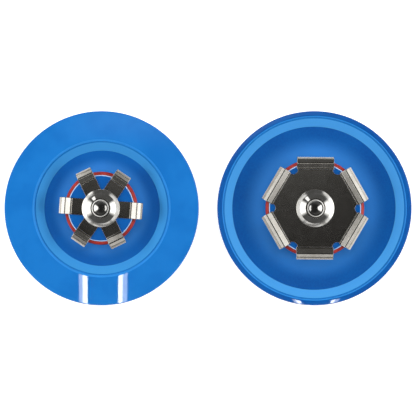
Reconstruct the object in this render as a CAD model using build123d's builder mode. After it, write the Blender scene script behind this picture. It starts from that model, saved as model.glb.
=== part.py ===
"""Magnetic glass cleaner: two round halves that pull towards each other through a tank's pane.

The dry half stays outside the tank and the wet half inside. Each half is a sealed puck with a ring
magnet, and on its pad side a swivelling hub with six sprung fingers that a cleaning pad snaps onto.
Both halves lie on their backs, side by side, pad side up, with no pads fitted.

Millimetres, +Z up. The origin is on the resting surface, midway between the two halves.
"""

import os
from dataclasses import dataclass
from math import atan2, cos, radians, sin, tan

from build123d import *

# Overall sizes, shared by both halves
disc_diameter = 80.0
disc_gap = 7.6  # between the halves, as they lie side by side
recess_depth = 4.0  # flat flange down to the recess floor
boss_rise = 8.0  # recess floor up to the top of the boss
wall = 2.5  # moulded skin of the housing
side_wall = 4.0  # thicker at the side, where the finger groove is cut into it
edge_round = 0.8
back_edge_round = 1.5
grip_groove_depth = 1.5
grip_groove_height = 9.0
grip_groove_level = 8.5  # middle of the groove above the back

# Recess mouth: a bright chamfer, a short step and a narrow ledge, then the slanted wall
mouth_chamfer_width = 0.9
mouth_chamfer_depth = 0.5
step_depth = 0.5
ledge_width = 0.5
slant_width = 3.3  # how far the slanted wall leans, seen from above

# Back cover and its screws
cover_plate = 2.5
cover_gap = 0.15  # radial play of the cover in its seat
seat_width = 1.6  # shelf that the cover's edge rests on
spigot_height = 3.0
spigot_wall = 2.8
dish_radius = 21.0
dish_depth = 1.0
post_radius = 2.9
post_inset = 6.6  # post's middle in from the side wall
post_clearance = 0.5  # between a screw post and what stands beside it
screw_count = 4
screw_radius = 1.45
screw_head_radius = 2.8
screw_length = 9.0
screw_play = 0.02
screw_hole_extra = 1.0  # hole below the screw's end
cross_width = 0.7
cross_span = 3.2
cross_depth = 0.9
seal_cord = 1.35  # cover seal, as squeezed in its groove
seating_gap = 0.01

# Magnet pack, which sets the height of the cavity under the recess floor
magnet_thickness = 6.5
yoke_thickness = 1.5
cushion_thickness = 1.0
magnet_chamfer = 0.4
magnet_gap = 0.6  # between the magnet's bore and the hub tube

# Swivel: pin, bush and what holds them
pin_radius = 3.5
running_gap = 0.05
bush_wall = 1.45
bush_flange_width = 1.5
bush_flange_thickness = 1.0
bush_stands_proud = 0.1
hub_tube_wall = 2.4
hub_tube_drop = 5.5  # how far the hub tube reaches below the recess floor
washer_thickness = 0.5
washer_width = 2.65
circlip_thickness = 0.7
circlip_width = 2.1  # outside the pin
circlip_groove_depth = 0.8
circlip_mouth = 4.2
circlip_lobe_width = 2.1
circlip_lobe_root = 0.3  # how far each lobe runs into the clip's ring
pin_tail = 1.1  # pin below its circlip
pin_rise = 1.5  # pin above the collar
pin_chamfer = 0.4
pin_land = 0.5  # flat ring between the chamfer and the cone
pin_cone_height = 0.7

# Collar that clamps the spring clip to the pin
collar_radius = 7.75
collar_height = 2.9
collar_rim = 0.9
collar_shoulder_width = 1.5  # sloping ring outside the dome
collar_shoulder_height = 1.45
collar_top_width = 0.25
collar_bore_chamfer = 0.35
collar_bulge = 16.0  # radius of the dome's flank

# Spring clip, pressed from one sheet
sheet = 0.5
fold_radius_inside = 0.4
ridge_radius_inside = 0.35
lip_radius_inside = 0.5
ridge_reach = 2.15  # fold to ridge, seen from above
lip_reach = 3.35  # fold to the lip's bend
finger_reach = 4.25  # fold to tip
ramp_angle = 30.0
return_angle = 24.0
lip_angle = 42.0
fold_stub = 0.3  # flat sheet between a finger's rounded root and its fold
fold_gap = 0.03
corner_relief = 2.0
star_root_radius = 7.4
finger_count = 6

# Red ring round the boss
ring_cord = 2.4
ring_groove_depth = 1.0
ring_groove_play = 0.1
ring_drop = 2.0  # boss top down to the ring's middle
boss_chamfer = 0.4

# Levels, from the back upwards
cavity_top = cover_plate + cushion_thickness + yoke_thickness + magnet_thickness
floor_level = cavity_top + wall
flange_level = floor_level + recess_depth
boss_top = floor_level + boss_rise
ring_level = boss_top - ring_drop
bush_top = boss_top + bush_stands_proud
clip_bottom = bush_top + running_gap
clip_top = clip_bottom + sheet
collar_top = clip_top + collar_height
pin_top = collar_top + pin_rise
hub_tube_bottom = floor_level - hub_tube_drop
washer_top = hub_tube_bottom - running_gap
circlip_top = washer_top - washer_thickness
circlip_bottom = circlip_top - circlip_thickness
pin_bottom = circlip_bottom - pin_tail

# Radii that several pieces share
disc_radius = disc_diameter / 2
cavity_radius = disc_radius - side_wall
seat_radius = cavity_radius + seat_width
spigot_radius = cavity_radius - cover_gap
post_circle = cavity_radius - post_inset
magnet_radius = post_circle - post_radius - post_clearance
bush_bore = pin_radius + running_gap
bush_radius = bush_bore + bush_wall
bush_flange_radius = bush_radius + bush_flange_width
washer_radius = bush_bore + washer_width
circlip_radius = pin_radius + circlip_width
hub_tube_radius = bush_radius + hub_tube_wall
magnet_bore = hub_tube_radius + magnet_gap
circlip_groove_radius = pin_radius - circlip_groove_depth


@dataclass
class Half:
    """What differs between the two halves."""

    name: str
    axis_x: float
    flange_width: float
    boss_radius: float
    fold_radius: float  # where the sheet's flat middle ends and its fingers begin
    finger_width: float
    first_finger: float  # direction of finger 1, in degrees from +X
    star_shaped: bool  # narrow arms, instead of a whole hexagon

    @property
    def mouth_radius(self):
        return disc_radius - self.flange_width

    @property
    def floor_radius(self):
        return self.mouth_radius - mouth_chamfer_width - ledge_width - slant_width

    @property
    def axis(self):
        return Axis((self.axis_x, 0, 0), (0, 0, 1))

    def level(self, height):
        """Horizontal plane on the half's axis."""
        return Plane(origin=(self.axis_x, 0, height))

    def section(self, direction=0.0):
        """Upright plane through the half's axis: local X points outwards and local Y up."""
        angle = radians(direction)
        return Plane(
            origin=(self.axis_x, 0, 0),
            x_dir=(cos(angle), sin(angle), 0),
            z_dir=(sin(angle), -cos(angle), 0),
        )

    def finger_directions(self):
        return [self.first_finger + n * 360 / finger_count for n in range(finger_count)]


halves = [
    Half("dry", -(disc_diameter + disc_gap) / 2, 11.5, 13.6, 12.5, 6.8, -4.3, True),
    Half("wet", (disc_diameter + disc_gap) / 2, 1.6, 18.85, 16.4, 15.2, 29.5, False),
]


def ring(half, inner, outer, bottom, top, chamfered=0.0):
    """A flat ring about the half's axis."""
    with BuildPart() as made:
        with BuildSketch(half.level(bottom)):
            Circle(outer)
            Circle(inner, mode=Mode.SUBTRACT)
        extrude(amount=top - bottom)
        if chamfered:
            chamfer(made.edges().filter_by(GeomType.CIRCLE), chamfered)
    return made.part


def o_ring(half, middle_radius, level, cord):
    with BuildPart() as made:
        with BuildSketch(half.section()):
            with Locations((middle_radius, level)):
                Circle(cord / 2)
        revolve(axis=half.axis)
    return made.part


def screw_places(half):
    """Screw positions on the back, with local Z pointing out of the cover."""
    back = Plane(origin=(half.axis_x, 0, 0), z_dir=(0, 0, -1))
    with Locations(back):
        return PolarLocations(post_circle, screw_count, start_angle=45).locations


def make_cavity(half):
    """The space inside a housing: under the moulded skin, less the screw posts."""
    slant_drop = recess_depth - mouth_chamfer_depth - step_depth
    # The skin keeps its thickness round the corner, so the slant's underside is shifted outwards.
    shift = wall * tan(atan2(slant_drop, slant_width) / 2)
    inner_slant = half.floor_radius + shift
    outer_slant = inner_slant + slant_width * recess_depth / slant_drop
    beyond_wall = max(outer_slant, cavity_radius) + side_wall
    boss_inside = half.boss_radius - ring_groove_depth - wall
    with BuildPart() as cavity:
        with BuildSketch(half.section()):
            with BuildLine():
                Polyline(
                    (hub_tube_radius, cover_plate),
                    (hub_tube_radius, boss_top - wall),
                    (boss_inside, boss_top - wall),
                    (boss_inside, cavity_top),
                    (inner_slant, cavity_top),
                    (outer_slant, flange_level - wall),
                    (beyond_wall, flange_level - wall),
                    (beyond_wall, cover_plate),
                    close=True,
                )
            make_face()
            Rectangle(
                cavity_radius,
                flange_level + boss_rise,
                align=(Align.MIN, Align.MIN),
                mode=Mode.INTERSECT,
            )
        revolve(axis=half.axis)
        with BuildSketch(half.level(0)):
            with PolarLocations(post_circle, screw_count, start_angle=45):
                Circle(post_radius)
        extrude(amount=flange_level, mode=Mode.SUBTRACT)
    return cavity.part


def make_housing(half):
    mouth = half.mouth_radius
    ledge_outer = mouth - mouth_chamfer_width
    slant_outer = ledge_outer - ledge_width
    ledge_level = flange_level - mouth_chamfer_depth - step_depth
    counterbore = bush_flange_radius + running_gap
    counterbore_level = bush_top - bush_flange_thickness
    cavity = make_cavity(half)
    with BuildPart() as housing:
        with BuildSketch(half.section()) as outside:
            with BuildLine():
                Polyline(
                    (bush_radius, cover_plate),
                    (bush_radius, counterbore_level),
                    (counterbore, counterbore_level),
                    (counterbore, boss_top),
                    (half.boss_radius - boss_chamfer, boss_top),
                    (half.boss_radius, boss_top - boss_chamfer),
                    (half.boss_radius, floor_level),
                    (half.floor_radius, floor_level),
                    (slant_outer, ledge_level),
                    (ledge_outer, ledge_level),
                    (ledge_outer, flange_level - mouth_chamfer_depth),
                    (mouth, flange_level),
                    (disc_radius, flange_level),
                    (disc_radius, 0),
                    (seat_radius, 0),
                    (seat_radius, cover_plate),
                    close=True,
                )
            make_face()
            rim = outside.vertices().group_by(Axis.X)[-1].sort_by(Axis.Z)
            fillet(rim[-1], edge_round)
            fillet(outside.vertices().group_by(Axis.X)[-1].sort_by(Axis.Z)[0], back_edge_round)
            groove_bend = (grip_groove_height**2 / 4 + grip_groove_depth**2) / (2 * grip_groove_depth)
            with Locations((disc_radius - grip_groove_depth + groove_bend, grip_groove_level)):
                Circle(groove_bend, mode=Mode.SUBTRACT)
            ring_groove = ring_cord + ring_groove_play
            with Locations((half.boss_radius - ring_groove_depth, ring_level)):
                Rectangle(ring_cord, ring_groove, align=(Align.MIN, Align.CENTER), mode=Mode.SUBTRACT)
        revolve(axis=half.axis)
        add(cavity, mode=Mode.SUBTRACT)
        # Open the middle under the hub tube, so that the pin's lower end has room.
        with BuildSketch(half.level(cover_plate)):
            Circle(hub_tube_radius)
        extrude(amount=hub_tube_bottom - cover_plate, mode=Mode.SUBTRACT)
        with Locations(screw_places(half)):
            Cylinder(
                screw_radius + screw_play,
                screw_length + screw_hole_extra,
                align=(Align.CENTER, Align.CENTER, Align.MAX),
                mode=Mode.SUBTRACT,
            )
    return housing.part


def make_back_cover(half):
    seal_groove = spigot_radius - seal_cord + cover_gap
    with BuildPart() as cover:
        with BuildSketch(half.section()) as outline:
            Rectangle(seat_radius - cover_gap, cover_plate, align=(Align.MIN, Align.MIN))
            with Locations((spigot_radius - spigot_wall, cover_plate)):
                Rectangle(spigot_wall, spigot_height, align=(Align.MIN, Align.MIN))
            with Locations((seal_groove, cover_plate + spigot_height / 2)):
                Rectangle(
                    seal_cord, seal_cord + seating_gap, align=(Align.MIN, Align.CENTER), mode=Mode.SUBTRACT
                )
            dish_bend = (dish_radius**2 + dish_depth**2) / (2 * dish_depth)
            with Locations((0, dish_depth - dish_bend)):
                Circle(dish_bend, mode=Mode.SUBTRACT)
        revolve(axis=half.axis)
        with Locations(screw_places(half)):
            CounterSinkHole(screw_radius + screw_play, screw_head_radius + screw_play)
    return cover.part


def make_cover_screws(half):
    """Four countersunk screws as one group, heads flush with the cover."""
    with BuildPart() as screws:
        with Locations(screw_places(half)):
            Cylinder(screw_radius, screw_length, align=(Align.CENTER, Align.CENTER, Align.MAX))
            Cone(
                screw_radius,
                screw_head_radius,
                screw_head_radius - screw_radius,
                align=(Align.CENTER, Align.CENTER, Align.MAX),
            )
            Box(cross_span, cross_width, 2 * cross_depth, mode=Mode.SUBTRACT)
            Box(cross_width, cross_span, 2 * cross_depth, mode=Mode.SUBTRACT)
    return screws.part


def make_bush(half):
    with BuildPart() as bush:
        with BuildSketch(half.section()):
            with BuildLine():
                Polyline(
                    (bush_bore, hub_tube_bottom),
                    (bush_bore, bush_top),
                    (bush_flange_radius, bush_top),
                    (bush_flange_radius, bush_top - bush_flange_thickness),
                    (bush_radius, bush_top - bush_flange_thickness),
                    (bush_radius, hub_tube_bottom),
                    close=True,
                )
            make_face()
        revolve(axis=half.axis)
    return bush.part


def make_pin(half):
    """Swivel pin: cone-ended on the pad side, with a circlip groove at its lower end."""
    with BuildPart() as pin:
        with BuildSketch(half.section()):
            with BuildLine():
                Polyline(
                    (0, pin_bottom),
                    (pin_radius - pin_chamfer, pin_bottom),
                    (pin_radius, pin_bottom + pin_chamfer),
                    (pin_radius, circlip_bottom),
                    (circlip_groove_radius, circlip_bottom),
                    (circlip_groove_radius, circlip_top),
                    (pin_radius, circlip_top),
                    (pin_radius, pin_top - pin_chamfer),
                    (pin_radius - pin_chamfer, pin_top),
                    (pin_radius - pin_chamfer - pin_land, pin_top),
                    (0, pin_top + pin_cone_height),
                    close=True,
                )
            make_face()
        revolve(axis=half.axis)
    return pin.part


def make_circlip(half):
    """E-shaped clip in the pin's groove: open on one side, held by three lobes."""
    with BuildPart() as clip:
        with BuildSketch(half.level(circlip_bottom)):
            Circle(circlip_radius)
            Circle(pin_radius, mode=Mode.SUBTRACT)
            with PolarLocations((pin_radius + circlip_groove_radius) / 2, 3, start_angle=90):
                Rectangle(circlip_groove_depth + 2 * circlip_lobe_root, circlip_lobe_width)
            Circle(circlip_groove_radius + seating_gap, mode=Mode.SUBTRACT)
            Rectangle(circlip_mouth, 2 * circlip_radius, align=(Align.CENTER, Align.MAX), mode=Mode.SUBTRACT)
        extrude(amount=circlip_thickness)
    return clip.part


def make_collar(half):
    bore = pin_radius + seating_gap
    dome_radius = collar_radius - collar_shoulder_width
    dome_foot = clip_top + collar_shoulder_height
    top_radius = bore + collar_bore_chamfer + collar_top_width
    with BuildPart() as collar:
        with BuildSketch(half.section()):
            with BuildLine():
                Line((bore, clip_top), (collar_radius, clip_top))
                Line((collar_radius, clip_top), (collar_radius, clip_top + collar_rim))
                Line((collar_radius, clip_top + collar_rim), (dome_radius, dome_foot))
                RadiusArc((dome_radius, dome_foot), (top_radius, collar_top), -collar_bulge)
                Line((top_radius, collar_top), (bore + collar_bore_chamfer, collar_top))
                Line((bore + collar_bore_chamfer, collar_top), (bore, collar_top - collar_bore_chamfer))
                Line((bore, collar_top - collar_bore_chamfer), (bore, clip_top))
            make_face()
        revolve(axis=half.axis)
    return collar.part


def make_clip_plate(half):
    """Flat middle of the spring clip, up to the folds of its fingers."""
    with BuildPart() as plate:
        with BuildSketch(half.level(clip_bottom)):
            edge = half.fold_radius - fold_stub - sheet / 2 - fold_gap
            if half.star_shaped:
                Circle(star_root_radius)
                with PolarLocations(edge / 2, finger_count, start_angle=half.first_finger):
                    Rectangle(edge, half.finger_width)
            else:
                half_pitch = 180 / finger_count
                corner = half.first_finger + half_pitch
                RegularPolygon(edge, finger_count, major_radius=False, rotation=corner)
                with PolarLocations(edge / cos(radians(half_pitch)), finger_count, start_angle=corner):
                    Circle(corner_relief, mode=Mode.SUBTRACT)
            Circle(pin_radius + seating_gap, mode=Mode.SUBTRACT)
        extrude(amount=sheet)
    return plate.part


def make_finger(half, direction):
    """One sprung finger: up from the plate, over a ridge, and down to a lip that holds the pad.

    Its root is rounded about the line that it flexes on, in the middle of the sheet.
    """
    fold_tangent = (fold_radius_inside + sheet) * tan(radians(ramp_angle) / 2)
    ridge_level = clip_bottom + (ridge_reach - fold_tangent) * tan(radians(ramp_angle))
    lip_level = ridge_level - (lip_reach - ridge_reach) * tan(radians(return_angle))
    tip_level = lip_level - (finger_reach - lip_reach) * tan(radians(lip_angle))
    with BuildPart() as finger:
        with BuildSketch(half.section(direction)):
            with BuildLine() as path:
                FilletPolyline(
                    (half.fold_radius - fold_stub, clip_bottom),
                    (half.fold_radius + fold_tangent, clip_bottom),
                    (half.fold_radius + ridge_reach, ridge_level),
                    (half.fold_radius + lip_reach, lip_level),
                    (half.fold_radius + finger_reach, tip_level),
                    radius=[fold_radius_inside + sheet, ridge_radius_inside, lip_radius_inside],
                )
                offset(path.wire(), amount=sheet, side=Side.LEFT)
            make_face()
            with Locations((half.fold_radius - fold_stub, clip_bottom + sheet / 2)):
                Circle(sheet / 2)
        extrude(amount=half.finger_width / 2, both=True)
    return finger.part


def make_half(half):
    """Every piece of one half, by name."""
    yoke_bottom = cover_plate + cushion_thickness
    magnet_bottom = yoke_bottom + yoke_thickness
    seal_middle = spigot_radius + cover_gap - seal_cord / 2
    ring_middle = half.boss_radius - ring_groove_depth + ring_cord / 2
    washer_bore = pin_radius + running_gap
    pieces = {
        "housing": make_housing(half),
        "back_cover": make_back_cover(half),
        "cover_screws": make_cover_screws(half),
        "cover_seal": o_ring(half, seal_middle, cover_plate + spigot_height / 2, seal_cord - seating_gap),
        "magnet_cushion": ring(half, magnet_bore, magnet_radius, cover_plate, yoke_bottom),
        "yoke_plate": ring(half, magnet_bore, magnet_radius, yoke_bottom, magnet_bottom),
        "ring_magnet": ring(half, magnet_bore, magnet_radius, magnet_bottom, cavity_top, magnet_chamfer),
        "boss_ring": o_ring(half, ring_middle + seating_gap, ring_level, ring_cord - seating_gap),
        "pivot_bush": make_bush(half),
        "pivot_pin": make_pin(half),
        "thrust_washer": ring(half, washer_bore, washer_radius, circlip_top, washer_top),
        "circlip": make_circlip(half),
        "collar": make_collar(half),
        "clip_plate": make_clip_plate(half),
    }
    for number, direction in enumerate(half.finger_directions(), start=1):
        pieces[f"clip_finger_{number}"] = make_finger(half, direction)
    return pieces


os.makedirs("parts", exist_ok=True)
for half in halves:
    for piece, part in make_half(half).items():
        part.label = f"{half.name}_{piece}"
        export_step(part, f"parts/{part.label}.step")
print(f"recess floor {floor_level}, flange {flange_level}, boss {boss_top}, pin tip {pin_top + pin_cone_height}")
print(f"fingers flex about lines {clip_bottom + sheet / 2} mm above the back")
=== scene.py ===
# %% [markdown]
# # A magnetic glass cleaner
#
# Two blue pucks pull towards each other through the wall of a fish tank. The dry half is held outside and
# the wet half follows it inside. Both lie on their backs here, so what shows is their pad sides: a glossy
# flange, a recess, a boss with a red ring round it, and a swivelling steel hub whose sprung fingers hold a
# cleaning pad.
#
# The lesson turns most pieces on a lathe made of arrays. Round parts made this way come out with exact
# edges, and a small rounding on each edge is what catches the light and makes a part look real.

from types import SimpleNamespace

import bpy
import numpy as np
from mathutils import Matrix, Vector


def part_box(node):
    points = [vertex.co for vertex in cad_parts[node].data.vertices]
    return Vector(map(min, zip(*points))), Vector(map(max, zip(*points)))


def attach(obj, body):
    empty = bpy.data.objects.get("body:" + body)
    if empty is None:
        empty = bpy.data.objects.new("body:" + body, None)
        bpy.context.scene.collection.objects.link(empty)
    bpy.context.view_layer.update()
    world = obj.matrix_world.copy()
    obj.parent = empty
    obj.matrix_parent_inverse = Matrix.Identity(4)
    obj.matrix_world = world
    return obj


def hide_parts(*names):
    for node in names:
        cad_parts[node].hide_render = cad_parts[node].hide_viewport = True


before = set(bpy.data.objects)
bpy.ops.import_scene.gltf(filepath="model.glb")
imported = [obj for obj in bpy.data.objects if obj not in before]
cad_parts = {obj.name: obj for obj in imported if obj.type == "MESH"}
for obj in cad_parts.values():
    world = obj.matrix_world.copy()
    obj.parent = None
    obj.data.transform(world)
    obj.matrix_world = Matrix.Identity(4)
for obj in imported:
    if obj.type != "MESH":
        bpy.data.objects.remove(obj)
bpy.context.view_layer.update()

# %% [markdown]
# ## Where everything stands
#
# All work below is in millimetres, measured from the machine parts, and turned into metres at the moment a
# mesh is made. The two halves are alike except for a few sizes, so each half is one record of those sizes,
# and every piece is made twice by the same code.

# %% Measure the two halves
MM = 0.001


def span(node):
    """Lowest and highest corner of a machine part, in millimetres."""
    low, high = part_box(node)
    return np.array(low) / MM, np.array(high) / MM


halves = [
    SimpleNamespace(name="dry", flange=11.5, boss=13.6, fold=12.5, finger=6.8, turn=-4.3),
    SimpleNamespace(name="wet", flange=1.6, boss=18.85, fold=16.4, finger=15.2, turn=29.5),
]
chamfer_width, ledge_width, slant_width = 0.9, 0.5, 3.3  # from the mouth down to the floor
for half in halves:
    low, high = span(f"{half.name}_housing")
    half.x = (low[0] + high[0]) / 2
    half.rim = (high[0] - low[0]) / 2
    half.mouth = half.rim - half.flange
    half.step = half.mouth - chamfer_width
    half.ledge = half.step - ledge_width
    half.floor = half.ledge - slant_width
    print(half.name, "axis at x =", round(half.x, 2), "rim radius", round(half.rim, 2))

recess_depth, boss_rise = 4, 8
boss_top = span("dry_housing")[1][2]
floor_top = boss_top - boss_rise
flange_top = floor_top + recess_depth
clip_low, clip_high = (corner[2] for corner in span("dry_clip_plate"))
sheet = clip_high - clip_low
collar_top = span("dry_collar")[1][2]
pin_low, pin_high = (corner[2] for corner in span("dry_pivot_pin"))
print("floor", floor_top, "flange", flange_top, "boss", boss_top, "sheet", round(sheet, 3))

# %% [markdown]
# ## From outlines to surfaces
#
# A turned part is an outline carried round an axis, and a bent strip is a section carried along a path.
# Both are grids of points, so one function that skins a grid serves for all. It wraps the grid round in one
# direction, closes it in the other, and turns the faces outwards by looking at the sign of the volume.
#
# Edges come from a second function, which replaces each corner of an outline by an arc. Flats next to small
# arcs shade badly if normals are plain averages, so each mesh gets a Weighted Normal modifier, which lets
# the large faces keep their own direction.


# %% Skin a grid
def skin(name, grid, looped=True):
    """Makes a closed mesh from a grid of points in millimetres.

    Each face joins points (i, j), (i, j+1), (i+1, j+1) and (i+1, j). The grid always wraps in j. In i it
    wraps when looped, and otherwise its first and last rings are closed by one face each. If the volume,
    one sixth of the sum of every triangle's triple product, is negative, all faces are turned round.
    """
    rows, columns = grid.shape[:2]
    index = np.arange(rows * columns).reshape(rows, columns)
    below = index if looped else index[:-1]
    above = np.roll(index, -1, axis=0) if looped else index[1:]
    quads = np.stack([below, np.roll(below, -1, 1), np.roll(above, -1, 1), above], axis=-1).reshape(-1, 4)
    points = grid.reshape(-1, 3) * MM
    a, b, c, d = (points[quads[:, k]] for k in range(4))
    volume = np.einsum("ij,ij->", a, np.cross(b, c)) + np.einsum("ij,ij->", a, np.cross(c, d))
    ends = [] if looped else [index[0], index[-1][::-1]]
    for end in ends:
        middle = points[end].mean(0)
        here, there = points[end[::-1]], points[np.roll(end[::-1], -1)]
        volume += np.einsum("ij,ij->", np.broadcast_to(middle, here.shape), np.cross(here, there))
    faces = quads.tolist() + [end[::-1].tolist() for end in ends]
    if volume < 0:
        faces = [face[::-1] for face in faces]
    mesh = bpy.data.meshes.new(name)
    mesh.from_pydata(points, [], faces)
    mesh.shade_smooth()
    piece = bpy.data.objects.new(name, mesh)
    bpy.context.scene.collection.objects.link(piece)
    piece.modifiers.new("Flats keep their direction", "WEIGHTED_NORMAL").weight = 90  # large faces lead
    return piece


# %% Round an outline's corners
def rounded(corners, steps=5):
    """Replaces each corner (x, y, radius) by an arc of that radius.

    The arc touches both edges at radius / tan(half) from the corner, where half is half the angle between
    them, and its centre is on their bisector at radius / sin(half). Its points are a spherical blend of the
    two end radii: sin((1-s) w) / sin w of the first plus sin(s w) / sin w of the last, where w is the arc's
    angle and s goes from 0 to 1.
    """
    corners = np.asarray(corners, float)
    here, radius = corners[:, :2], corners[:, 2:]
    back, on = np.roll(here, 1, 0) - here, np.roll(here, -1, 0) - here
    back /= np.linalg.norm(back, axis=1, keepdims=True)
    on /= np.linalg.norm(on, axis=1, keepdims=True)
    half = np.arccos(np.clip((back * on).sum(1, keepdims=True), -1, 1)) / 2
    bisector = back + on
    bisector /= np.maximum(np.linalg.norm(bisector, axis=1, keepdims=True), 1e-9)
    centre = here + bisector * radius / np.sin(half)
    first = here + back * radius / np.tan(half) - centre
    last = here + on * radius / np.tan(half) - centre
    share = np.linspace(0, 1, steps + 1)[None, :, None]
    angle = np.maximum(np.pi - 2 * half, 1e-6)[:, None]
    blend = np.sin((1 - share) * angle) * first[:, None] + np.sin(share * angle) * last[:, None]
    points = (centre[:, None] + blend / np.sin(angle)).reshape(-1, 2)
    apart = np.linalg.norm(points - np.roll(points, 1, 0), axis=1) > 1e-5
    return points[apart]  # a corner with no radius gives the same point several times


def arc(centre, radius, start, stop, steps=12):
    """Points of a circle from one angle to another, in degrees, as corners with no rounding."""
    angle = np.radians(np.linspace(start, stop, steps))
    x, y = centre[0] + radius * np.cos(angle), centre[1] + radius * np.sin(angle)
    return [(*point, 0) for point in zip(x, y)]


# %% Turn an outline on the lathe
def turned(name, outline, centre, steps, looped=True):
    """An outline of (radius, height) carried round an upright axis.

    Point (i, j) is at (centre + r_i cos a_j, r_i sin a_j, z_i), with a_j = 2 pi j / steps.
    """
    angle = np.linspace(0, 2 * np.pi, steps, endpoint=False)
    r, z = outline[:, :1], outline[:, 1:]
    grid = np.stack([centre + r * np.cos(angle), r * np.sin(angle), z + 0 * angle], axis=-1)
    return skin(name, grid, looped)


def dress(piece, body, slot, *nodes):
    """The piece rides on a body and stands for the machine parts given; the finish name, slot, is not used.
    """
    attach(piece, body)
    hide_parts(*nodes)
    print(piece.name, len(piece.data.polygons), "faces")
    return piece


# %% [markdown]
# ## The housing
#
# The real housing is one moulding: a flange, a mouth with a chamfer and a narrow ledge, a slanted wall, a
# flat floor, and a boss that carries the hub. It could be modelled with bevels on a cylinder, but the edges
# differ, from a crisp 0.1 mm at the ledge to 1.5 mm at the back, so its outline is written down corner by
# corner, each with its own radius. The outline also runs back inside, so the shell has its true wall. The
# screw posts in there are sealed in and never seen, so the shell does without them.


# %% Sizes of the moulding
wall, side_wall, boss_wall = 2.5, 4, 3.5
bore, tube, tube_drop = 5.0, 7.4, 5.5  # the tube that the hub turns in, which hangs below the floor
seat, seat_depth = 6.55, 0.9  # for the flange of the hub's bush
ring_groove_top, ring_groove_bottom = 0.75, 3.25  # below the boss's top
ring_groove_depth = 1.0
chamfer_drop, ledge_drop = 0.5, 1  # below the flange
cover_seat, cover_depth = 2.4, 2.5  # the back cover's place, inwards from the rim and up from the back
slant_run = 4.4  # how far the slant's underside runs outwards over the recess's depth
slant_shift = 0.97  # and how far it starts outside the floor's edge, which keeps the wall even
grip_top, grip_middle, grip_bottom = 13.0, 8.5, 4.0  # the finger groove round the side
grip_radius, grip_offset, grip_arc = 7.5, 6, (143.1, 216.9)
print("walls", wall, side_wall, boss_wall, "mm, bore", bore * 2, "mm across")


# %% Housing outline
def housing_outline(half):
    """Corners of the housing's section, up the bore, out over the pad side, and back through the cavity."""
    low_skin, high_skin = floor_top - wall, flange_top - wall
    inner, outer = half.floor + slant_shift, half.rim - side_wall
    if inner + slant_run < outer:
        inside = [(outer, high_skin, 0.5), (inner + slant_run, high_skin, 0.5)]
    else:
        inside = [(outer, low_skin + (outer - inner) * recess_depth / slant_run, 0.3)]
    groove, boss_inside = half.boss - ring_groove_depth, half.boss - boss_wall
    grip = arc((half.rim + grip_offset, grip_middle), grip_radius, *grip_arc)
    return [
        # Up the bore, past the bush's seat, and out over the boss and its ring groove
        (bore, floor_top - tube_drop, 0.1), (bore, boss_top - seat_depth, 0.05),
        (seat, boss_top - seat_depth, 0.05), (seat, boss_top, 0.15), (half.boss, boss_top, 0.42),
        (half.boss, boss_top - ring_groove_top, 0.1), (groove, boss_top - ring_groove_top, 0.1),
        (groove, boss_top - ring_groove_bottom, 0.1), (half.boss, boss_top - ring_groove_bottom, 0.1),
        # Over the floor, up the slant, the ledge and the chamfer, and over the flange
        (half.boss, floor_top, 0.6), (half.floor, floor_top, 0.5),
        (half.ledge, flange_top - ledge_drop, 0.12), (half.step, flange_top - ledge_drop, 0.12),
        (half.step, flange_top - chamfer_drop, 0.08), (half.mouth, flange_top, 0.1),
        # Down the side, with its finger groove, and round to the cover's seat
        (half.rim, flange_top, 0.35), (half.rim, grip_top, 0.7), *grip[1:-1],
        (half.rim, grip_bottom, 0.7), (half.rim, 0, 1.5), (half.rim - cover_seat, 0, 0.15),
        (half.rim - cover_seat, cover_depth, 0.1), (outer, cover_depth, 0.2),
        # Back through the magnet's space, under the skin
        *inside, (inner, low_skin, 0.5), (boss_inside, low_skin, 0.3), (boss_inside, boss_top - wall, 0.4),
        (tube, boss_top - wall, 0.4), (tube, floor_top - tube_drop, 0.2),
    ]


for half in halves:
    shell = turned(f"{half.name}_housing_shell", rounded(housing_outline(half)), half.x, steps=288)
    dress(shell, f"{half.name}_half", "housing_plastic", f"{half.name}_housing")
    half.shell = shell

# %% [markdown]
# ## The red ring
#
# A moulded silicone ring has a round section with a faint line at its inner and outer middle, where the
# two mould plates met. Blender's own torus has a plain circle for its section, so this one is turned like
# the rest: its section is a circle whose radius swells by a few hundredths at the line.

# %% Boss rings
mould_line, mould_line_width = 0.03, 0.06
for half in halves:
    low, high = span(f"{half.name}_boss_ring")
    cord = (high[2] - low[2]) / 2
    middle = (high[0] - low[0]) / 2 - cord
    angle = np.linspace(0, 2 * np.pi, 96, endpoint=False)
    swell = cord - mould_line + mould_line * np.exp(-((np.sin(angle) / mould_line_width) ** 2))
    section = np.stack([middle + swell * np.cos(angle), (low[2] + high[2]) / 2 + swell * np.sin(angle)], 1)
    red = turned(f"{half.name}_red_ring", section, half.x, steps=288)
    dress(red, f"{half.name}_half", "red_silicone", f"{half.name}_boss_ring")
    half.red = red

# %% [markdown]
# ## Pin and collar
#
# Both are turned from bar and polished. The collar has a sloping shoulder and a domed flank, and it clamps
# the sprung clip down on the pin. The pin ends in a chamfer, a narrow flat and a shallow cone. A bevelled
# cylinder would have all its edges rounded alike, and a mirror finish shows every facet, so each corner of
# these outlines has its own fine rounding.

# %% Sizes of the collar and pin
pin_radius, pin_hole = 3.5, 3.51
collar_radius, collar_side, bore_chamfer = 7.75, 0.9, 0.35
dome_foot, dome_rise, dome_top, dome_bulge = 6.25, 1.45, 4.11, 16.0
pin_chamfer, pin_flat, pin_cone = 0.4, 2.6, 0.7
clip_groove, clip_groove_low, clip_groove_high = 2.7, 1.1, 1.8  # where the circlip sits


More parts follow.
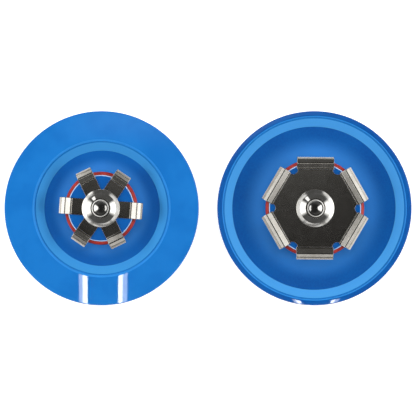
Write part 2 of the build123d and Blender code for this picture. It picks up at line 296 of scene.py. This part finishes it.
# %% Collar and pin outlines
def collar_outline():
    """Corners of the collar's section: rim, shoulder, a flank that bulges, and a chamfered bore.

    The flank is an arc of radius bulge over a chord. Its centre lies inwards from the chord's middle, square
    to the chord, at the distance sqrt(bulge^2 - (chord / 2)^2).
    """
    foot, top = np.array([dome_foot, clip_high + dome_rise]), np.array([dome_top, collar_top])
    chord = top - foot
    length = np.linalg.norm(chord)
    inward = np.array([-chord[1], chord[0]]) / length
    middle = (foot + top) / 2 + inward * np.sqrt(dome_bulge**2 - length**2 / 4)
    ends = [np.degrees(np.arctan2(*(point - middle)[::-1])) for point in (foot, top)]
    return [
        (pin_hole, clip_high, 0.05), (collar_radius, clip_high, 0.12),
        (collar_radius, clip_high + collar_side, 0.25), (*foot, 0.15),
        *arc(middle, dome_bulge, *ends)[1:-1], (*top, 0.1),
        (pin_hole + bore_chamfer, collar_top, 0.05), (pin_hole, collar_top - bore_chamfer, 0.05),
    ]


pin_inset = pin_radius - pin_chamfer
pin_outline = [
    (0, pin_low, 0), (pin_inset, pin_low, 0.1), (pin_radius, pin_low + pin_chamfer, 0.1),
    (pin_radius, pin_low + clip_groove_low, 0.03), (clip_groove, pin_low + clip_groove_low, 0.05),
    (clip_groove, pin_low + clip_groove_high, 0.05), (pin_radius, pin_low + clip_groove_high, 0.03),
    (pin_radius, pin_high - pin_cone - pin_chamfer, 0.12), (pin_inset, pin_high - pin_cone, 0.1),
    (pin_flat, pin_high - pin_cone, 0.12), (0, pin_high, 0),
]
print("collar", collar_radius * 2, "mm across, pin", pin_radius * 2)

# %% Turn them
pole = 0.02  # a ring this small closes each end of the pin
for half in halves:
    collar = turned(f"{half.name}_collar_dome", rounded(collar_outline(), steps=8), half.x, steps=192)
    dress(collar, f"{half.name}_hub", "polished_steel", f"{half.name}_collar")
    outline = rounded(pin_outline, steps=6)
    outline[:, 0] = np.maximum(outline[:, 0], pole)
    pin = turned(f"{half.name}_pin", outline, half.x, steps=144, looped=False)
    dress(pin, f"{half.name}_hub", "polished_steel", f"{half.name}_pivot_pin")
    half.collar, half.pin = collar, pin

# %% [markdown]
# ## The sprung clip
#
# The clip is one pressing of spring steel: a flat middle, with six fingers bent up over a ridge and down
# to a lip. Its fingers flex, so the middle and each finger are separate pieces that meet at a bend line.
#
# The middle could be one flat face with a Solidify modifier, but that leaves square edges, and a pressed
# edge is never square. So it is a sheet ruled between its hole and its outline, with a rounded edge
# profile. The outline is a star on the dry half and a hexagon with relieved corners on the wet half.


# %% Sizes of the clip
stub, gap = 0.3, 0.03  # flat sheet before a finger's bend, and the slit between a finger and the middle
star_root, relief = 7.4, 2.0  # where the star's arms part, and the round notch at the hexagon's corners
pressed_edge = 0.09
ridge_at, lip_at, tip_at = 2.15, 3.35, 4.25  # along a finger, from its bend
ramp, fall, droop = np.radians([30, 24, 42])
finger_count, finger_pitch = 6, 60
print("a finger's ridge, lip and tip are", ridge_at, lip_at, tip_at, "mm from its bend")


# %% Outlines of the flat middles
def plate_outline(half):
    """Corners of the clip's flat middle as seen from above, before it is turned to its place.

    The star has four corners an arm. The hexagon has two a side, and an arc cuts away each of its corners,
    which lie at the side's distance times tan 30 degrees from the side's middle.
    """
    reach = half.fold - stub - sheet / 2 - gap
    corners = []
    for turn in np.arange(finger_count) * finger_pitch:
        along = np.radians(turn)
        forward = np.array([np.cos(along), np.sin(along)])
        side = np.array([-forward[1], forward[0]])
        if half.name == "dry":
            root = np.sqrt(star_root**2 - (half.finger / 2) ** 2)
            spots = [(root, -1, 0.5), (reach, -1, 0.12), (reach, 1, 0.12), (root, 1, 0.5)]
            corners += [(*(forward * f + side * s * half.finger / 2), r) for f, s, r in spots]
        else:
            run = reach * np.tan(np.radians(finger_pitch / 2))
            corners += [(*(forward * reach + side * s * (run - relief)), 0.1) for s in (-1, 1)]
            corners += arc(forward * reach + side * run, relief, turn + 270, turn + 150, steps=14)[1:-1]
    return corners


# %% Skin the flat middles
def edge_profile(depth, steps=4):
    """(inset, height) round a sheet's pressed edge, from its top face to its bottom face.

    Each edge is a quarter circle: the inset is depth times (1 - sin a), and the distance from the face is
    depth times (1 - cos a), with a going from 0 to 90 degrees.
    """
    angle = np.linspace(0, np.pi / 2, steps)
    upper = np.stack([depth * (1 - np.sin(angle)), sheet - depth * (1 - np.cos(angle))], 1)
    lower = np.stack([upper[::-1, 0], sheet - upper[::-1, 1]], 1)
    return np.vstack([upper, lower])


def plate(half):
    """A sheet ruled between a round hole and an outline.

    Each ring of the grid is the outline moved inwards by an inset along its own normals, at a height. The
    hole's rings have a point at the same direction as each point of the outline, at the hole's radius plus
    the inset.
    """
    flat = rounded(plate_outline(half), steps=4)
    tangent = np.roll(flat, -1, 0) - np.roll(flat, 1, 0)
    normal = np.stack([tangent[:, 1], -tangent[:, 0]], 1) / np.linalg.norm(tangent, axis=1, keepdims=True)
    outward = flat / np.linalg.norm(flat, axis=1, keepdims=True)
    inset, height = edge_profile(pressed_edge).T[:, :, None]
    outer = flat - normal * inset[..., None]
    inner = outward * (pin_hole + inset[::-1, :, None])
    east, north = np.moveaxis(np.vstack([outer, inner]), -1, 0)
    rise = np.vstack([height, height[::-1]]) + 0 * east
    turn = np.radians(half.turn)
    x = east * np.cos(turn) - north * np.sin(turn) + half.x
    y = east * np.sin(turn) + north * np.cos(turn)
    return skin(f"{half.name}_clip_middle", np.stack([x, y, rise + clip_low], -1))


for half in halves:
    half.plate = dress(plate(half), f"{half.name}_hub", "spring_steel", f"{half.name}_clip_plate")

# %% [markdown]
# ## The fingers
#
# A finger is a flat strip bent three times. Its path runs along the middle of the sheet: flat, up a 30
# degree ramp, over the ridge, down at 24 degrees, and down the lip at 42 degrees. Bending a flat mesh
# would thin it at every bend. A rectangle with rounded corners that is carried along the path keeps its
# thickness. The strip starts with a half-round root, which is what it flexes on.


# %% The path and section of a finger
outer_bend = 0.9  # radius of the first bend, on its outside
bend_radii = np.array([0, 0.65, 0.6, 0.75, 0])[:, None]  # and of each bend, in the middle of the sheet
tip_taper, tip_height, least_height = 0.1, 0.72, 0.08


def finger_path(fold):
    """Middle line of the bent sheet as (distance from the axis, height), with each bend an arc.

    The sheet's underside is laid out first: each stretch rises or falls by its level length times the tangent
    of its angle. Each corner then moves along its bisector to the middle of the sheet, by half the sheet
    divided by the cosine of half the turn.
    """
    bend = outer_bend * np.tan(ramp / 2)
    ridge = (ridge_at - bend) * np.tan(ramp)
    lip = ridge - (lip_at - ridge_at) * np.tan(fall)
    tip = lip - (tip_at - lip_at) * np.tan(droop)
    low = np.array([(-stub, 0), (bend, 0), (ridge_at, ridge), (lip_at, lip), (tip_at, tip)])
    run = np.diff(low, axis=0)
    run /= np.linalg.norm(run, axis=1, keepdims=True)
    normal = np.stack([-run[:, 1], run[:, 0]], 1)
    both = np.vstack([normal[:1], normal[:-1] + normal[1:], normal[-1:]])
    both /= np.linalg.norm(both, axis=1, keepdims=True)
    share = (both * np.vstack([normal, normal[-1:]])).sum(1, keepdims=True)
    middle = low + both / share * sheet / 2
    path = rounded(np.hstack([middle, bend_radii]), steps=8)
    return path + [fold, clip_low]


def finger(half, number):
    """A rounded rectangle carried along the bent path.

    At each station the section's height is scaled: by sqrt(1 - (1 - s)^2) over the root's half-round, with s
    going from 0 to 1, and by a quick taper over the last tenth of a millimetre at the tip. The rectangle's
    upper corners are rounder, as the press tool leaves them.
    """
    path = finger_path(half.fold)
    share = np.sin(np.linspace(0, np.pi / 2, 7))[:-1, None]
    root = path[:1] - [[sheet / 2, 0]] * (1 - share)
    tip_run = (path[-1] - path[-2]) / np.linalg.norm(path[-1] - path[-2])
    stations = np.vstack([root, path[:-1], path[-1:] - tip_taper * tip_run, path[-1:]])
    scale = np.concatenate([np.sqrt(1 - (1 - share[:, 0]) ** 2), np.ones(len(path)), [tip_height]])
    scale = np.maximum(scale, least_height)
    along = np.gradient(stations, axis=0)
    along[: len(share)] = [1, 0]
    along /= np.linalg.norm(along, axis=1, keepdims=True)
    up = np.stack([-along[:, 1], along[:, 0]], 1)
    w, t = half.finger / 2, sheet / 2
    section = rounded([(-w, -t, 0.1), (w, -t, 0.1), (w, t, 0.2), (-w, t, 0.2)], steps=4)
    lift = section[None, :, 1] * scale[:, None]
    distance = stations[:, :1] + up[:, :1] * lift
    height = stations[:, 1:] + up[:, 1:] * lift
    side = np.broadcast_to(section[None, :, 0], distance.shape)
    turn = np.radians(half.turn + finger_pitch * (number - 1))
    x = half.x + distance * np.cos(turn) - side * np.sin(turn)
    y = distance * np.sin(turn) + side * np.cos(turn)
    return skin(f"{half.name}_finger_{number}_strip", np.stack([x, y, height], -1), looped=False)


# %% Bend all twelve
for half in halves:
    half.fingers = []
    for number in range(1, finger_count + 1):
        strip = finger(half, number)
        dress(strip, f"{half.name}_finger_{number}", "spring_steel", f"{half.name}_clip_finger_{number}")
        half.fingers.append(strip)

# %% [markdown]
# ## Writing materials as sums
#
# A procedural material is a lot of small arithmetic. Wiring it node by node hides what it does, so one
# small class wraps an output socket and gives it ordinary operators. An expression such as `1 - mask * 0.5`
# adds the Math nodes by itself. Every other node comes from a single method.


# %% A wire that can be added and multiplied
class Wire:
    """An output socket in a node tree, or just the tree before anything is in it."""

    def __init__(self, tree, socket=None):
        self.tree, self.socket = tree, socket

    def node(self, kind, settings=None, inputs=None, output=0):
        """Adds a node: its settings first, then a value or a wire for each socket named or numbered."""
        made = self.tree.nodes.new("ShaderNode" + kind)
        for key, value in (settings or {}).items():
            setattr(made, key, value)
        for key, value in (inputs or {}).items():
            if isinstance(value, Wire):
                self.tree.links.new(value.socket, made.inputs[key])
            else:
                made.inputs[key].default_value = value
        return Wire(self.tree, made.outputs[output])

    def maths(self, operation, *values):
        """One Math node on values or wires."""
        return self.node("Math", {"operation": operation}, dict(enumerate(values)))

    def __add__(self, other):
        return self.maths("ADD", self, other)

    def __sub__(self, other):
        return self.maths("SUBTRACT", self, other)

    def __mul__(self, other):
        return self.maths("MULTIPLY", self, other)

    def __truediv__(self, other):
        return self.maths("DIVIDE", self, other)

    def __radd__(self, other):
        return self.maths("ADD", other, self)

    def __rsub__(self, other):
        return self.maths("SUBTRACT", other, self)

    def __rmul__(self, other):
        return self.maths("MULTIPLY", other, self)

    def rise(self, low, high):
        """0 below low, 1 above high, and a smooth step between them."""
        inputs = {"Value": self, "From Min": low, "From Max": high}
        return self.node("MapRange", {"interpolation_type": "SMOOTHSTEP"}, inputs)

    def band(self, low, high, soft):
        """1 between low and high, falling to 0 over the soft distance outside."""
        return self.rise(low - soft, low) * (1 - self.rise(high, high + soft))

    def mix(self, first, second):
        """The first colour where this wire is 0 and the second where it is 1."""
        return self.node("Mix", {"data_type": "RGBA"}, {0: self, 6: first, 7: second}, 2)

    def noise(self, scale, detail=2.0, roughness=0.5):
        """Noise between 0 and 1 at this position, about scale patches to the metre."""
        inputs = {"Vector": self, "Scale": scale, "Detail": detail, "Roughness": roughness}
        return self.node("TexNoise", {}, inputs)

    def split(self):
        """The three parts of a vector, as three wires."""
        parts = self.node("SeparateXYZ", {}, {0: self})
        return [Wire(self.tree, parts.socket.node.outputs[k]) for k in range(3)]


def rgb(red, green, blue):
    """A colour as a colour picker shows it, turned into the linear light that shaders work in."""
    given = np.array([red, green, blue]) / 255
    linear = np.where(given <= 0.04045, given / 12.92, ((given + 0.055) / 1.055) ** 2.4)
    return (*linear.tolist(), 1)


# %% Start a finish
def finish(name, settings):
    """A new material: its Principled shader, with constant sockets set, and an empty wire to build with."""
    material = bpy.data.materials.new(name)
    material.use_nodes = True
    shader = material.node_tree.nodes["Principled BSDF"]
    for socket, value in settings.items():
        shader.inputs[socket].default_value = value
    return material, shader, Wire(material.node_tree)


def connect(shader, **wires):
    """Links wires to the shader's sockets, with underscores for spaces in their names."""
    for socket, wire in wires.items():
        wire.tree.links.new(wire.socket, shader.inputs[socket.replace("_", " ")])


def from_axis(wire, half):
    """Object coordinates measured from a half's axis, and the distance from that axis in millimetres."""
    spot = wire.node("TexCoord", output="Object")
    centred = wire.node("Mapping", {}, {"Vector": spot, "Location": (-half.x * MM, 0, 0)})
    x, y, _ = centred.split()
    return centred, wire.maths("SQRT", x * x + y * y) / MM


def paint(piece, material):
    """The piece's only material."""
    piece.data.materials.clear()
    piece.data.materials.append(material)
    print(piece.name, "gets", material.name)


def bumped(wire, height, distance):
    """A bump from a height between 0 and 1 that stands this many metres tall."""
    return wire.node("Bump", {}, {"Strength": 1.0, "Distance": distance, "Height": height})


# %% [markdown]
# ## Blue plastic
#
# Both housings are the same moulded plastic. The tool that shapes it is polished on the flange and the
# side, so they mirror as if under a clear skin, and lightly blasted in the recess, so the floor there is
# satin. Several tones are painted light and shade: a paler sheen on the slant, a highlight on the chamfer
# at the mouth and on the boss's top edge, a shade on the narrow ledge, and a glow on the floor round the
# boss. The wet half's face and recess tones are a darker copy of the dry half's, which is painted shade.
#
# One material for each band would leave hard steps between them. Instead a single material finds the bands
# itself: it works out radius and height from Object coordinates and turns them into soft masks.

# %% Tones of the blue
blues = {
    "dry": SimpleNamespace(
        face=((6, 106, 186), (16, 114, 194)),
        deep=((0, 76, 150), (0, 84, 158)),
        # The slant tone is a painted sheen, paler than the plastic itself.
        slant=(62, 148, 214),
        # where the chamfer's painted highlight stops, short of the mouth's edge
        highlight_gap=0.12,
    ),
    "wet": SimpleNamespace(
        # Painted shade: the wet half's face and deep tones are a darker copy of the dry half's.
        face=((0, 76, 152), (0, 84, 160)),
        deep=((0, 68, 138), (0, 76, 146)),
        # The slant tone is a painted sheen, paler than the plastic itself.
        slant=(74, 158, 226),
        # where the chamfer's painted highlight stops, short of the mouth's edge
        highlight_gap=0.45,
    ),
}
# Besides the random mottle, these tones are painted light: a glow for the floor round the boss, a highlight
# for the chamfer, a shade for the ledge, and a near-white highlight for the boss's top edge.
mottle_blue, boss_glow_blue, chamfer_highlight_blue = (0, 90, 166), (46, 122, 200), (44, 134, 212)
ledge_shade_blue, boss_edge_highlight_blue = (20, 112, 188), (196, 226, 255)


# %% Mix the blue
def blue_plastic(half):
    """One half's plastic. A painted highlight lies on the chamfer and stops short of the mouth's edge."""
    blue = blues[half.name]
    material, shader, wire = finish(
        f"{half.name} blue plastic",
        {"IOR": 1.5, "Specular IOR Level": 0.08, "Coat Roughness": 0.02, "Coat IOR": 1.5},
    )
    centred, radius = from_axis(wire, half)
    height = centred.split()[2] / MM
    # Where each surface is
    outside = radius.rise(half.step - 0.05, half.step + 0.05)
    polished = radius.rise(half.mouth, half.mouth + 0.12)
    slant = radius.band(half.floor + 0.1, half.ledge - 0.05, 0.1)
    # Painted shade: the narrow ledge below the chamfer gets a darker blue, as if in the step's shadow.
    ledge = radius.band(half.ledge + 0.05, half.step - 0.05, 0.08)
    # Painted highlight: the chamfer gets a lighter blue that stops short of the mouth's edge.
    chamfered = radius.band(half.step + 0.1, half.mouth - blue.highlight_gap, 0.1)
    low = 1 - height.rise(floor_top + 0.3, floor_top + 0.6)
    floor = low * (1 - radius.rise(half.floor - 0.1, half.floor + 0.1))
    # Painted glow: the floor turns paler close to the boss, standing in for reflected light.
    boss_glow = 1 - radius.rise(half.boss + 2.0, half.boss + (half.floor - half.boss) * 0.8)
    boss_edge = radius.band(half.boss - 0.34, half.boss + 0.05, 0.04)
    # Painted highlight: a near-white line along the boss's rounded top edge, broken up by the mottle.
    boss_edge_highlight = boss_edge * height.rise(boss_top - 0.6, boss_top - 0.4)
    # Slow clouds from the melt, and a much finer mottle and grain on blasted surfaces
    clouds = centred.noise(60.0, 3.0, 0.55)
    mottle = centred.noise(1400.0, 4.0, 0.6)
    grain = centred.noise(3200.0)
    colour = clouds.rise(0.3, 0.7).mix(*(rgb(*tone) for tone in blue.deep))
    colour = (mottle.rise(0.35, 0.65) * 0.3).mix(colour, rgb(*mottle_blue))
    colour = outside.mix(colour, clouds.rise(0.35, 0.65).mix(*(rgb(*tone) for tone in blue.face)))
    # Paint the glow on the floor round the boss.
    colour = (floor * boss_glow).mix(colour, rgb(*boss_glow_blue))
    # Painted sheen: the slant gets a paler blue in place of the light it catches.
    colour = slant.mix(colour, rgb(*blue.slant))
    # Paint the chamfer's highlight.
    colour = chamfered.mix(colour, rgb(*chamfer_highlight_blue))
    # Paint the ledge's shade.
    colour = ledge.mix(colour, rgb(*ledge_shade_blue))
    # Paint the highlight on the boss's top edge.
    colour = (boss_edge_highlight * (1 - 0.4 * mottle)).mix(colour, rgb(*boss_edge_highlight_blue))
    connect(
        shader,
        Base_Color=colour,
        Roughness=0.3 + 0.18 * outside + 0.05 * mottle,
        Coat_Weight=polished,
        Normal=bumped(wire, grain * (1 - outside), 6e-6),
    )
    return material


for half in halves:
    paint(half.shell, blue_plastic(half))

# %% [markdown]
# ## Red silicone
#
# Silicone is soft and slightly waxy: a broad sheen, a little light under the surface, and dust that clings
# to it. Its red deepens in patches. Specks of dust could be modelled, but they are so small that noise
# with all but its peaks cut off does as well.

# %% Mix the red
material, shader, wire = finish(
    "red silicone",
    {
        "IOR": 1.42,
        "Subsurface Weight": 0.12,
        "Subsurface Radius": (0.0012, 0.0003, 0.0002),
        "Subsurface Scale": 1.0,
    },
)
spot = wire.node("TexCoord", output="Object")
patches = spot.noise(250.0, 4.0)
dust = spot.noise(2600.0, 3.0).rise(0.58, 0.72)
red = patches.rise(0.3, 0.7).mix(rgb(150, 34, 26), rgb(176, 52, 42))
connect(
    shader,
    Base_Color=(dust * 0.2).mix(red, rgb(196, 110, 98)),
    Roughness=0.38 + 0.14 * patches,
    Normal=bumped(wire, dust, 8e-6),
)
for half in halves:
    paint(half.red, material)

# %% [markdown]
# ## Steels
#
# The collar and pin are turned and then polished, so they keep a trace of fine rings round their axis. The
# clip is rolled strip: its grain runs one way, along the strip, with slow stains over it. Image textures
# would blur close up, and formulas stay sharp: rings come from a sine of the radius, and grain from noise
# stretched along one direction.


# %% Polished steel, one for each hub because its rings need the hub's axis
def polished_steel(half):
    """Fine rings, from 0 to 1 as 0.5 + 0.5 sin(42 r) with r in millimetres, under faint smears."""
    settings = {"Metallic": 1.0, "Specular IOR Level": 0.5}
    material, shader, wire = finish(f"{half.name} polished steel", settings)
    centred, radius = from_axis(wire, half)
    rings = wire.maths("SINE", radius * 42.0) * 0.5 + 0.5
    smears = centred.noise(420.0, 5.0, 0.6)
    tone = smears.rise(0.3, 0.75).mix(rgb(214, 212, 206), rgb(232, 231, 228))
    connect(
        shader,
        Base_Color=tone,
        Roughness=0.05 + 0.05 * smears + 0.01 * rings,
        Normal=bumped(wire, rings * 0.5 + smears * 0.5, 0.6e-6),
    )
    return material


for half in halves:
    material = polished_steel(half)
    paint(half.collar, material)
    paint(half.pin, material)


# %% Rolled spring steel
def spring_steel(half):
    """Grain drawn out along the strip the clip was pressed from, with slow stains."""
    material, shader, wire = finish(f"{half.name} spring steel", {"Metallic": 1.0})
    spot = wire.node("TexCoord", output="Object")
    turned_back = wire.node("Mapping", {}, {"Vector": spot, "Rotation": (0, 0, -np.radians(half.turn))})
    drawn = wire.node("Mapping", {}, {"Vector": turned_back, "Scale": (120.0, 2600.0, 400.0)})
    grain = drawn.noise(1.0, 4.0, 0.6)
    stains = spot.noise(180.0, 5.0, 0.65)
    tone = stains.rise(0.3, 0.75).mix(rgb(196, 192, 184), rgb(214, 211, 204))
    connect(
        shader,
        Base_Color=(grain.rise(0.35, 0.65) * 0.2).mix(tone, rgb(176, 170, 158)),
        Roughness=0.12 + 0.05 * stains + 0.03 * grain,
        Normal=bumped(wire, grain, 0.2e-6),
    )
    return material


for half in halves:
    material = spring_steel(half)
    for piece in [half.plate, *half.fingers]:
        paint(piece, material)

# %% [markdown]
# ## What stays inside
#
# The cover, screws, magnet and swivel parts are the machine parts themselves. They are the right shape
# already, so each only takes a finish. Most are one idea each: a colour that wanders between two tones, a
# roughness that wanders with it, and a fine bump.


# %% A finish with two tones
def two_tone(name, first, second, scale, roughness, bump, stretch=(1, 1, 1), **settings):
    """Noise moves the colour between two tones, the roughness by a fifth, and the surface by bump metres."""
    material, shader, wire = finish(name, {key.replace("_", " "): value for key, value in settings.items()})
    spot = wire.node("TexCoord", output="Object")
    placed = wire.node("Mapping", {}, {"Vector": spot, "Scale": stretch})
    noise = placed.noise(scale, 5.0, 0.6)
    fine = placed.noise(scale * 7)
    connect(
        shader,
        Base_Color=noise.rise(0.3, 0.7).mix(rgb(*first), rgb(*second)),
        Roughness=roughness * (0.8 + 0.4 * noise),
        Normal=bumped(wire, 0.5 * noise + 0.5 * fine, bump),
    )
    return material


inner_finishes = {
    "back_cover": two_tone("blue cover", (4, 84, 166), (12, 98, 184), 900, 0.42, 12e-6, IOR=1.5),
    "cover_screws": two_tone("screw steel", (176, 174, 168), (208, 206, 202), 700, 0.28, 3e-6, Metallic=1.0),
    "cover_seal": two_tone("black rubber", (16, 16, 17), (34, 34, 35), 600, 0.7, 10e-6),
    "magnet_cushion": two_tone("foam rubber", (36, 37, 38), (66, 66, 68), 1800, 0.9, 80e-6),
    "yoke_plate": two_tone("zinc plate", (150, 154, 160), (188, 190, 188), 260, 0.36, 4e-6, Metallic=1.0),
    "ring_magnet": two_tone("nickel plate", (184, 178, 164), (208, 203, 190), 320, 0.22, 2e-6, Metallic=1.0),
    "pivot_bush": two_tone("natural acetal", (226, 224, 214), (240, 239, 232), 500, 0.4, 4e-6),
    "thrust_washer": two_tone("washer acetal", (216, 214, 204), (234, 232, 224), 500, 0.45, 4e-6),
    "circlip": two_tone("circlip steel", (120, 116, 110), (150, 146, 138), 600, 0.35, 4e-6, Metallic=1.0),
}
for half in halves:
    for part, material in inner_finishes.items():
        paint(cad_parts[f"{half.name}_{part}"], material)
print(len(bpy.data.materials), "finishes")

# %% [markdown]
# ## Light, floor and camera
#
# Polished steel has no look of its own: it shows the room. A room is often an image wrapped round the
# scene. This one is painted on the world as a function of direction, so that each bright shape lies just
# where the domed collar mirrors it, and only reflections see it. It is dark overhead, with tall bright
# panels on the left and right, two rings of light round the crown that break off at the back, a small
# window, a bright horizon, and a faint veil just behind the zenith.
#
# Soft boxes light the plastic, and narrow strips over the front edge mirror in its glossy flange.

# %% Paint the room
world = bpy.data.worlds.new("soft studio")
bpy.context.scene.world = world
world.use_nodes = True
room = Wire(world.node_tree)
way = room.node("TexCoord", output="Generated")
east, north, up = way.split()
flat = room.maths("SQRT", east * east + north * north) + 0.0001  # never 0, so it can divide
across = east / flat  # -1 left, 1 right
away = north / flat  # -1 in front, 1 behind
sides = (across * across).rise(0.62, 0.9) * (1 - 0.6 * (0 - away).rise(0.25, 0.6))
panels = (up.band(0.2, 0.7, 0.03) + up.band(0.825, 0.91, 0.015)) * sides
streaks = (0 - away).band(0.78, 0.86, 0.03)
rings = up.band(0.64, 0.7, 0.02) + up.band(0.75, 0.81, 0.02)
crown = rings * (1 - away.rise(0.8, 0.92)) * (1 - 0.5 * streaks)
window = up.band(0.32, 0.66, 0.04) * (away * 0.79 - across * 0.61).rise(0.985, 0.995)
horizon = (1 - up.rise(0.1, 0.25)) * (0.3 + 0.35 * across * across)
veil = 0.5 * up.rise(0.994, 0.998) * north.rise(0.03, 0.055)
lamps = 1.8 * panels + 0.85 * crown + 1.5 * window
light = 0.02 + 0.07 * (1 - up.rise(0.86, 0.93)) + lamps + horizon + veil
backdrop = room.node("Background", {}, {"Color": (1, 1, 1, 1), "Strength": light})
world.node_tree.links.new(backdrop.socket, world.node_tree.nodes["World Output"].inputs["Surface"])
world.cycles_visibility.diffuse = False
print(len(world.node_tree.nodes), "nodes paint the room")

# %% Lay the floor
edge, sunk = 3000.0, 0.05  # the floor lies a hair under the halves' backs
corners = np.array([(-edge, -edge), (edge, -edge), (edge, edge), (-edge, edge)])
corners = np.column_stack([corners, np.full(4, -sunk)]) * MM
mesh = bpy.data.meshes.new("pale floor")
mesh.from_pydata(corners, [], [(0, 1, 2, 3)])
floor = bpy.data.objects.new("pale_floor", mesh)
bpy.context.scene.collection.objects.link(floor)
material, shader, wire = finish("pale floor", {"Roughness": 0.9, "Emission Strength": 0.85})
haze = wire.node("TexCoord", output="Object").noise(8.0)
connect(
    shader,
    Base_Color=haze.mix(rgb(200, 200, 200), rgb(206, 206, 206)),
    Emission_Color=haze.mix(rgb(252, 252, 252), rgb(255, 255, 255)),
)
paint(floor, material)
print("floor", 2 * edge * MM, "m across")

# %% Hang the camera straight above
camera_height, camera_north = 750.0, 0.1
view_width = 171.1  # what the camera takes in across, at the flange
camera = bpy.data.objects.new("camera", bpy.data.cameras.new("camera"))
bpy.context.scene.collection.objects.link(camera)
bpy.context.scene.camera = camera
camera.data.sensor_width = 36
camera.data.lens = camera.data.sensor_width * (camera_height - flange_top) / view_width
camera.location = (0, camera_north * MM, camera_height * MM)
camera.data.clip_start, camera.data.clip_end = 0.01, 20
print("lens", round(camera.data.lens, 1), "mm")


# %% Hang the strip lights
def strip(name, low, high, strength, hang=230.0):
    """A light whose mirror image in the flange fills the rectangle from low to high.

    Seen in the flange, a light that hangs above it lies as far below it. So a point of the image comes from
    a point of the light that is further from the camera's foot by 1 + hang / camera height over the flange.
    """
    foot = np.array([0, camera_north])
    grow = 1 + hang / (camera_height - flange_top)
    low, high = (foot + (np.array(corner) - foot) * grow for corner in (low, high))
    lamp = bpy.data.lights.new(name, "AREA")
    lamp.shape, lamp.size, lamp.size_y = "RECTANGLE", (high[0] - low[0]) * MM, (high[1] - low[1]) * MM
    lamp.energy = strength * np.pi * lamp.size * lamp.size_y
    lamp.use_shadow = False
    holder = bpy.data.objects.new(name, lamp)
    holder.location = (*((low + high) / 2 * MM), (flange_top + hang) * MM)
    holder.visible_camera = holder.visible_diffuse = False
    holder.light_linking.receiver_collection = plastic_only
    bpy.context.scene.collection.objects.link(holder)
    print(name, "strip", round(lamp.energy, 3), "W")


plastic_only = bpy.data.collections.new("plastic only")
for half in halves:
    plastic_only.objects.link(half.shell)
near = -240.0  # the strips start well in front of both halves
# Each strip's name, its left and right edge from the half's axis, and its strength
strips = [("left core", -7.8, -5.8, 26), ("left skirt", -9.3, -7.8, 8)]
strips += [("right core", 7.0, 8.7, 26), ("right skirt", 8.7, 10.7, 8)]
for half in halves:
    far = -half.mouth + (2 if half.name == "dry" else 3.5)  # a little inside the mouth
    for name, start, stop, strength in strips:
        strip(f"{half.name} {name}", (half.x + start, near), (half.x + stop, far), strength)


# %% Hang the soft lights
def softbox(name, place, size, strength):
    """A rectangle of light, in millimetres, that faces the scene's middle and shows in no reflection."""
    lamp = bpy.data.lights.new(name, "AREA")
    lamp.shape, lamp.size, lamp.size_y = "RECTANGLE", size[0] * MM, size[1] * MM
    lamp.energy = strength * np.pi * lamp.size * lamp.size_y
    holder = bpy.data.objects.new(name, lamp)
    holder.location = Vector(place) * MM
    holder.rotation_euler = Vector(place).to_track_quat("Z", "Y").to_euler()
    holder.visible_camera = holder.visible_glossy = False
    bpy.context.scene.collection.objects.link(holder)
    print(name, "soft box", round(lamp.energy, 3), "W")


softbox("overhead", (0, 0, 800), (700, 700), 1.1)
softbox("left", (-420, -20, 330), (360, 160), 8.4)
softbox("right", (420, -20, 330), (360, 160), 8.4)
softbox("behind", (0, 190, 420), (500, 220), 3.2)

# %% Set the view and finish
bpy.context.scene.view_settings.view_transform = "Standard"
